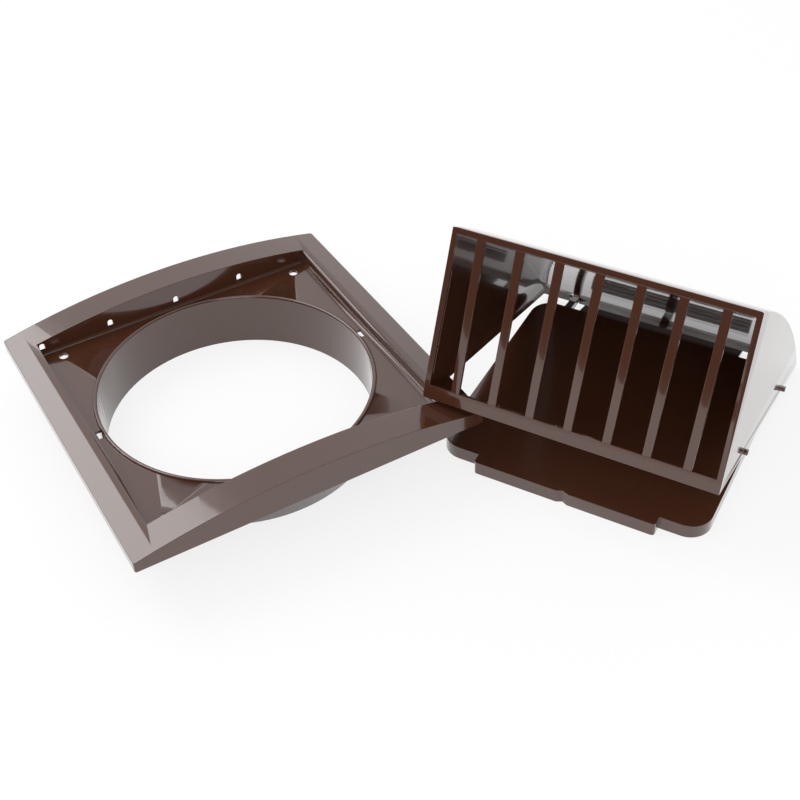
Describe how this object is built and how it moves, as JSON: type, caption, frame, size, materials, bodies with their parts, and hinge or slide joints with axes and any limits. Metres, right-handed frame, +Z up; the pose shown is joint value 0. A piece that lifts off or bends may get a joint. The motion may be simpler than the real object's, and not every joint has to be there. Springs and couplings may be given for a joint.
{
  "type": "exhaust vent",
  "caption": "Cowled outdoor wall vent for a round duct, shown taken apart: a square arched wall plate with a duct spigot, a curved hood with a barred outlet and a hinged back-draught flap.",
  "frame": {"origin": "duct axis at the open end of the wall plate's spigot, which stands on the table", "axes": "+X along the plate's two arched sides towards the hood, +Y along its two straight sides away from the camera, +Z up along the duct axis"},
  "size_m": [0.3806, 0.3006, 0.1272],
  "materials": {
    "plate_plastic": "smooth glossy brown moulding",
    "hood_plastic": "smooth glossy brown moulding",
    "flap_plastic": "smooth glossy brown moulding"
  },
  "bodies": {
    "vent": {"wall_plate": "plate_plastic", "hood": "hood_plastic"},
    "flap": {"flap": "flap_plastic"}
  },
  "joints": [
    {"name": "flap_hinge", "type": "hinge", "parent": "vent", "child": "flap", "pos_m": [0.24443, -0.05951, 0.00518], "axis": [-0.518, 0.8554, 0], "range_deg": [0, 8]}
  ]
}
